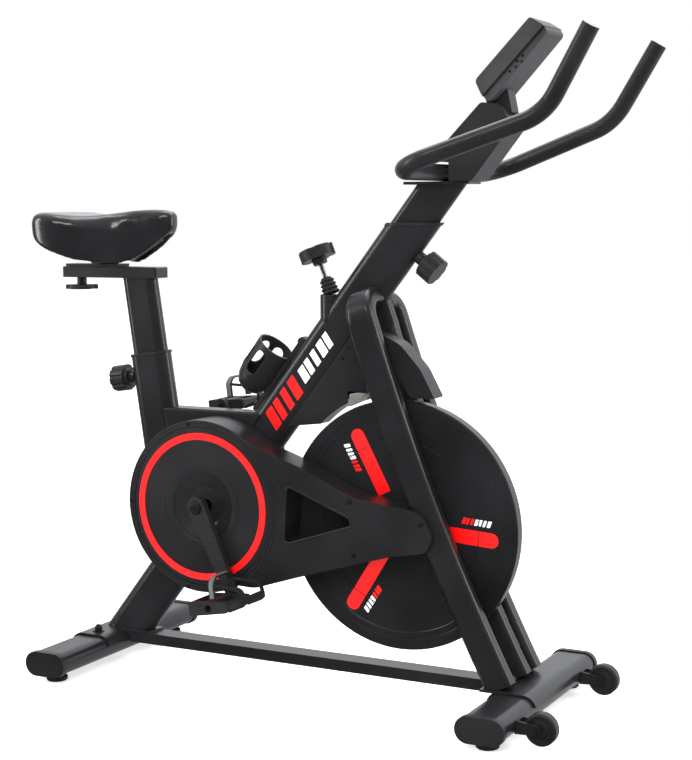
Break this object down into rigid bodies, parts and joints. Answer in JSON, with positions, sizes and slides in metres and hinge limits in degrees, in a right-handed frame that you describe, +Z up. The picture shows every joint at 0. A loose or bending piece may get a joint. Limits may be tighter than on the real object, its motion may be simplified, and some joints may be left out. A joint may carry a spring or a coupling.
{
  "type": "exercise bike",
  "caption": "Belt-drive spin bike with a cast flywheel, push-and-turn felt brake, height-adjusted saddle and handlebar, pedal cages, bottle cage, console and transport wheels.",
  "frame": {"origin": "on the floor, under the middle of the machine's bounding box", "axes": "+X from the saddle towards the handlebar, +Y to the rider's left, +Z up; the belt cover is at -Y"},
  "size_m": [1.1146, 0.44, 1.1377],
  "materials": {
    "black_steel": "satin black powder coat on welded steel tube",
    "black_plastic": "fine-grained black moulding",
    "cover_plastic": "smooth semi-gloss black moulding",
    "console_plastic": "dark grey-black moulding with a smoked window",
    "red_plastic": "red trim ring",
    "grey_plastic": "mid-grey moulding",
    "bolt_steel": "zinc plated fasteners",
    "bare_steel": "turned steel, lightly oiled",
    "black_casting": "cast iron, painted semi-gloss black",
    "grip_coat": "dipped soft black coat on bent steel tube",
    "black_rubber": "matt black rubber",
    "belt_rubber": "flat black drive belt",
    "black_vinyl": "glossy black vinyl over foam",
    "felt": "steel arm with a pressed wool felt brake block"
  },
  "bodies": {
    "frame": {"main_tube": "black_steel", "seat_tube": "black_steel", "top_tube": "black_steel", "bb_shell": "black_steel", "lower_tube": "black_steel", "fork_leg_near": "black_steel", "fork_leg_middle": "black_steel", "fork_leg_far": "black_steel", "welded_brackets": "black_steel", "tube_collars": "black_plastic", "front_stabiliser": "black_steel", "rear_stabiliser": "black_steel", "stabiliser_end_caps": "black_plastic", "frame_bolts": "bolt_steel", "bb_bearings": "bare_steel", "belt_cover": "cover_plastic", "belt_cover_back": "cover_plastic", "cover_disc": "cover_plastic", "cover_ring": "red_plastic", "cover_screws": "bolt_steel", "tube_guard": "cover_plastic", "flywheel_hood": "cover_plastic", "bottle_cage": "black_plastic", "flywheel_axle": "bare_steel", "drive_belt": "belt_rubber", "brake_bellows": "black_rubber"},
    "foot_front_near": {"foot_front_near": "black_rubber"},
    "foot_front_far": {"foot_front_far": "black_rubber"},
    "foot_rear_near": {"foot_rear_near": "black_rubber"},
    "foot_rear_far": {"foot_rear_far": "black_rubber"},
    "wheel_near": {"wheel_near": "black_plastic"},
    "wheel_far": {"wheel_far": "black_plastic"},
    "flywheel_set": {"flywheel": "black_casting", "flywheel_bearings": "bare_steel", "flywheel_pulley": "bare_steel"},
    "crank_set": {"crank_spindle": "bare_steel", "drive_pulley": "black_plastic", "crank_near": "black_steel", "crank_far": "black_steel", "crank_hardware": "bolt_steel"},
    "pedal_near_set": {"pedal_near": "grey_plastic", "pedal_near_cage": "black_plastic"},
    "pedal_far_set": {"pedal_far": "grey_plastic", "pedal_far_cage": "black_plastic"},
    "seat_post_set": {"seat_post": "black_steel", "seat_head": "black_steel"},
    "seat_pin": {"seat_pin_knob": "black_plastic"},
    "saddle_set": {"saddle_carriage": "black_steel", "saddle_base": "black_plastic", "saddle_cushion": "black_vinyl"},
    "saddle_knob": {"saddle_knob": "black_plastic"},
    "stem_set": {"stem": "black_steel", "handlebar": "grip_coat", "console_support": "black_plastic", "console": "console_plastic"},
    "console_button": {"console_button": "grey_plastic"},
    "stem_pin": {"stem_pin_knob": "black_plastic"},
    "brake_plunger": {"brake_rod": "bare_steel"},
    "brake_knob": {"brake_knob": "black_plastic"},
    "brake_pad": {"brake_pad": "felt"}
  },
  "joints": [
    {"name": "flywheel_spin", "type": "hinge", "parent": "frame", "child": "flywheel_set", "pos_m": [0.1682, 0, 0.3071], "axis": [0, 1, 0], "continuous": true},
    {"name": "crank_spin", "type": "hinge", "parent": "frame", "child": "crank_set", "pos_m": [-0.1905, 0, 0.3205], "axis": [0, 1, 0], "continuous": true},
    {"name": "pedal_near_spin", "type": "hinge", "parent": "crank_set", "child": "pedal_near_set", "pos_m": [-0.11731, 0, 0.16706], "axis": [0, 1, 0], "continuous": true},
    {"name": "pedal_far_spin", "type": "hinge", "parent": "crank_set", "child": "pedal_far_set", "pos_m": [-0.26369, 0, 0.47394], "axis": [0, 1, 0], "continuous": true},
    {"name": "seat_height", "type": "slide", "parent": "frame", "child": "seat_post_set", "axis": [-0.1478, 0, 0.989], "range_m": [-0.09, 0.06]},
    {"name": "saddle_slide", "type": "slide", "parent": "seat_post_set", "child": "saddle_set", "axis": [1, 0, 0], "range_m": [-0.01, 0.05]},
    {"name": "saddle_knob_turn", "type": "hinge", "parent": "saddle_set", "child": "saddle_knob", "pos_m": [-0.5065, 0, 0.69], "axis": [0, 0, 1], "range_deg": [0, 720]},
    {"name": "seat_pin_pull", "type": "slide", "parent": "frame", "child": "seat_pin", "axis": [-0.989, 0, -0.1478], "range_m": [0, 0.008], "stiffness_N_per_m": 900, "springref_m": -0.005},
    {"name": "handlebar_height", "type": "slide", "parent": "frame", "child": "stem_set", "axis": [0.6157, 0, 0.788], "range_m": [-0.03, 0.07]},
    {"name": "console_button_press", "type": "slide", "parent": "stem_set", "child": "console_button", "axis": [0.7303, 0, -0.6831], "range_m": [0, 0.0015], "stiffness_N_per_m": 500, "springref_m": -0.001},
    {"name": "stem_pin_pull", "type": "slide", "parent": "frame", "child": "stem_pin", "axis": [0.788, 0, -0.6157], "range_m": [0, 0.008], "stiffness_N_per_m": 900, "springref_m": -0.005},
    {"name": "brake_press", "type": "slide", "parent": "frame", "child": "brake_plunger", "axis": [0.3746, 0, -0.9272], "range_m": [0, 0.003], "stiffness_N_per_m": 4000, "springref_m": -0.005, "deforming": ["brake_bellows"]},
    {"name": "brake_turn", "type": "hinge", "parent": "brake_plunger", "child": "brake_knob", "pos_m": [0.0235, 0, 0.694], "axis": [0.3746, 0, -0.9272], "range_deg": [0, 720]},
    {"name": "brake_feed", "type": "slide", "parent": "brake_plunger", "child": "brake_pad", "axis": [0.3746, 0, -0.9272], "range_m": [0, 0.0025], "stiffness_N_per_m": 1, "springref_m": -0.0506},
    {"name": "wheel_near_roll", "type": "hinge", "parent": "frame", "child": "wheel_near", "pos_m": [0.47, -0.151, 0.0315], "axis": [0, 1, 0], "continuous": true},
    {"name": "wheel_far_roll", "type": "hinge", "parent": "frame", "child": "wheel_far", "pos_m": [0.47, 0.151, 0.0315], "axis": [0, 1, 0], "continuous": true},
    {"name": "foot_front_near_turn", "type": "hinge", "parent": "frame", "child": "foot_front_near", "pos_m": [0.3925, -0.184, 0], "axis": [0, 0, 1], "range_deg": [-720, 720]},
    {"name": "foot_front_far_turn", "type": "hinge", "parent": "frame", "child": "foot_front_far", "pos_m": [0.3925, 0.184, 0], "axis": [0, 0, 1], "range_deg": [-720, 720]},
    {"name": "foot_rear_near_turn", "type": "hinge", "parent": "frame", "child": "foot_rear_near", "pos_m": [-0.4445, -0.184, 0], "axis": [0, 0, 1], "range_deg": [-720, 720]},
    {"name": "foot_rear_far_turn", "type": "hinge", "parent": "frame", "child": "foot_rear_far", "pos_m": [-0.4445, 0.184, 0], "axis": [0, 0, 1], "range_deg": [-720, 720]}
  ],
  "couplings": [
    {"joint": "crank_spin", "follows": "flywheel_spin", "ratio": 0.25926},
    {"joint": "brake_feed", "follows": "brake_turn", "m_per_rad": 0.00019894}
  ]
}
